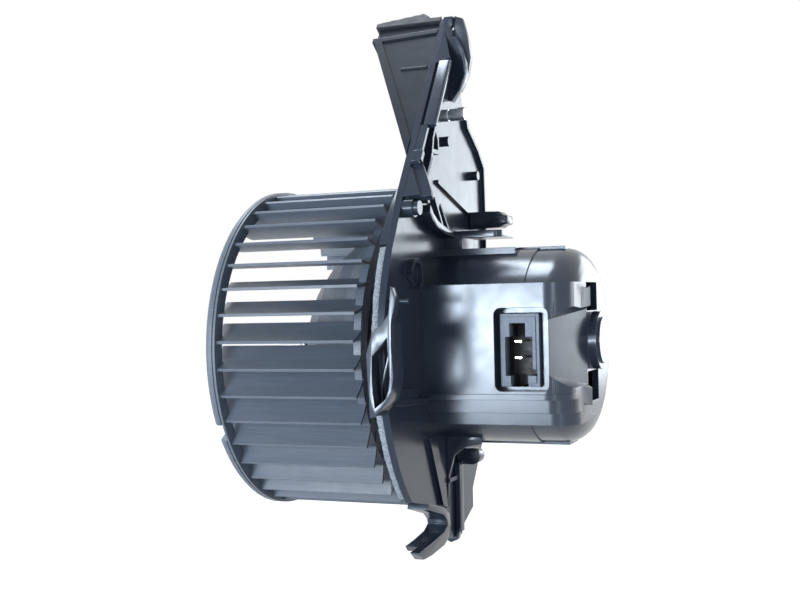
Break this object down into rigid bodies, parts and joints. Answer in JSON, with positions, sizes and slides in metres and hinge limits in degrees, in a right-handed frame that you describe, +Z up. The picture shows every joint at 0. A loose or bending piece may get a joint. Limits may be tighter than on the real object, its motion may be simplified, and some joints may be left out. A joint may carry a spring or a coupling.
{
  "type": "dc blower fan",
  "caption": "Heater blower: squirrel-cage wheel on a motor in a moulded flange with tall fin, air scoop, rounded motor cover and side connector pocket.",
  "frame": {"origin": "on the shaft axis, in the plane of the flange plate's front face, where the foam gasket sits", "axes": "+X along the shaft from the wheel to the motor's rear, +Z up towards the tall fin, -Y towards the connector side"},
  "size_m": [0.162, 0.1725, 0.2493],
  "materials": {
    "housing_plastic": "semi-gloss moulded, dark blue-grey",
    "wheel_plastic": "matte, finely grained",
    "foam": "open-cell foam, speckled",
    "seal_rubber": "soft rubber",
    "connector_plastic": "matte grained, lighter grey",
    "pin_metal": "bright, lightly brushed",
    "steel": "drawn sheet steel",
    "ground_steel": "ground and polished",
    "magnet": "dull sintered ferrite",
    "bronze": "sintered, oil-filled",
    "brass": "bright stamped",
    "terminal_metal": "bright plated",
    "copper": "enamelled copper wire",
    "inner_plastic": "matte moulded",
    "card": "laminated board",
    "carbon": "pressed carbon"
  },
  "bodies": {
    "housing": {"flange": "housing_plastic", "motor_cover": "housing_plastic", "cover_pad": "housing_plastic", "cover_cap": "housing_plastic", "foam_gasket": "foam", "air_scoop": "housing_plastic", "mouth_seal": "seal_rubber", "duct_cover": "housing_plastic", "latch_pin": "pin_metal", "shelf_arm": "housing_plastic", "side_rail": "housing_plastic", "mounting_ear": "housing_plastic", "lock_hook": "housing_plastic", "claw": "housing_plastic", "connector_insert": "connector_plastic", "terminals": "terminal_metal", "motor_can": "steel", "field_magnets": "magnet", "magnet_clips": "steel", "front_bush": "bronze", "front_retainer": "steel", "rear_bush": "bronze", "rear_retainer": "steel", "end_frame": "inner_plastic", "brush_card": "card", "brush_boxes": "brass", "chokes": "copper", "card_screws": "steel", "front_isolator": "seal_rubber", "rear_isolator": "seal_rubber", "rear_buffer": "seal_rubber", "spring_upper": "steel", "spring_lower": "steel"},
    "rotor": {"fan_wheel": "wheel_plastic", "fan_hub": "wheel_plastic", "hub_insert": "brass", "hub_clip": "steel", "balance_clips": "steel", "shaft": "ground_steel", "armature_core": "steel", "windings": "copper", "commutator": "copper", "thrust_washers": "inner_plastic"},
    "brush_up": {"brush_upper": "carbon"},
    "brush_down": {"brush_lower": "carbon"}
  },
  "joints": [
    {"name": "rotor_spin", "type": "hinge", "parent": "housing", "child": "rotor", "pos_m": [0, 0, 0], "axis": [1, 0, 0], "continuous": true},
    {"name": "brush_up_slide", "type": "slide", "parent": "housing", "child": "brush_up", "axis": [0, 0, 1], "range_m": [0, 0.003], "stiffness_N_per_m": 150, "springref_m": -0.004, "deforming": ["spring_upper"]},
    {"name": "brush_down_slide", "type": "slide", "parent": "housing", "child": "brush_down", "axis": [0, 0, -1], "range_m": [0, 0.003], "stiffness_N_per_m": 150, "springref_m": -0.004, "deforming": ["spring_lower"]}
  ]
}
